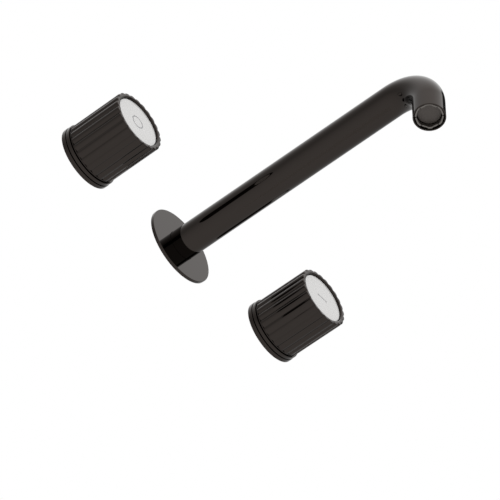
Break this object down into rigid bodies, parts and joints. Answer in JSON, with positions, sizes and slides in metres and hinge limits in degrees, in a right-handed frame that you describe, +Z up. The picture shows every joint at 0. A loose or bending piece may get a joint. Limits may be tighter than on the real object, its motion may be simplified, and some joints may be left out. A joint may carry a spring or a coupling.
{
  "type": "wall mounted bath faucet",
  "caption": "Long round wall spout turned down at its end, with a thin round wall plate, and reeded hot and cold handles with white front discs that turn ceramic valves.",
  "frame": {"origin": "on the finished wall, at the centre of the spout", "axes": "+Z up, +Y into the wall, +X along the wall from the hot handle to the cold one"},
  "size_m": [0.2488, 0.2445, 0.0774],
  "materials": {
    "black_chrome": "polished dark chrome over brass",
    "aerator_rim": "bright turned metal",
    "porcelain": "white glazed porcelain",
    "brass": "machined",
    "steel": "stainless",
    "steel_mesh": "fine stainless mesh",
    "rubber": "moulded",
    "alumina": "lapped ceramic",
    "grey_plastic": "moulded"
  },
  "bodies": {
    "spout_and_fixings": {"spout_tube": "black_chrome", "spout_plate": "black_chrome", "plate_gasket": "rubber", "plate_o_ring": "rubber", "spout_nipple": "brass", "nipple_washer": "rubber", "spout_thread_bush": "brass", "aerator_housing": "aerator_rim", "aerator_screen": "steel_mesh", "aerator_straightener": "grey_plastic", "aerator_diffuser": "grey_plastic", "aerator_washer": "rubber", "hot_valve_housing": "brass", "hot_housing_o_ring": "rubber", "hot_flange_gasket": "rubber", "hot_mount_screw_1": "steel", "hot_mount_screw_2": "steel", "hot_base_ring": "black_chrome", "hot_cover_ring": "black_chrome", "hot_glide_ring": "grey_plastic", "hot_cartridge_body": "brass", "hot_cartridge_gasket": "rubber", "hot_fixed_disc": "alumina", "hot_disc_seal": "rubber", "cold_valve_housing": "brass", "cold_housing_o_ring": "rubber", "cold_flange_gasket": "rubber", "cold_mount_screw_1": "steel", "cold_mount_screw_2": "steel", "cold_base_ring": "black_chrome", "cold_cover_ring": "black_chrome", "cold_glide_ring": "grey_plastic", "cold_cartridge_body": "brass", "cold_cartridge_gasket": "rubber", "cold_fixed_disc": "alumina", "cold_disc_seal": "rubber"},
    "hot_handle": {"hot_spindle": "brass", "hot_spindle_o_ring_1": "rubber", "hot_spindle_o_ring_2": "rubber", "hot_turning_disc": "alumina", "hot_circlip": "steel", "hot_spline_insert": "grey_plastic", "hot_grip": "black_chrome", "hot_handle_screw": "steel", "hot_lock_washer": "steel", "hot_index_disc": "porcelain", "hot_index_o_ring": "rubber"},
    "cold_handle": {"cold_spindle": "brass", "cold_spindle_o_ring_1": "rubber", "cold_spindle_o_ring_2": "rubber", "cold_turning_disc": "alumina", "cold_circlip": "steel", "cold_spline_insert": "grey_plastic", "cold_grip": "black_chrome", "cold_handle_screw": "steel", "cold_lock_washer": "steel", "cold_index_disc": "porcelain", "cold_index_o_ring": "rubber"}
  },
  "joints": [
    {"name": "hot_handle_turn", "type": "hinge", "parent": "spout_and_fixings", "child": "hot_handle", "pos_m": [-0.1, 0, 0], "axis": [0, -1, 0], "range_deg": [0, 90]},
    {"name": "cold_handle_turn", "type": "hinge", "parent": "spout_and_fixings", "child": "cold_handle", "pos_m": [0.1, 0, 0], "axis": [0, 1, 0], "range_deg": [0, 90]}
  ]
}
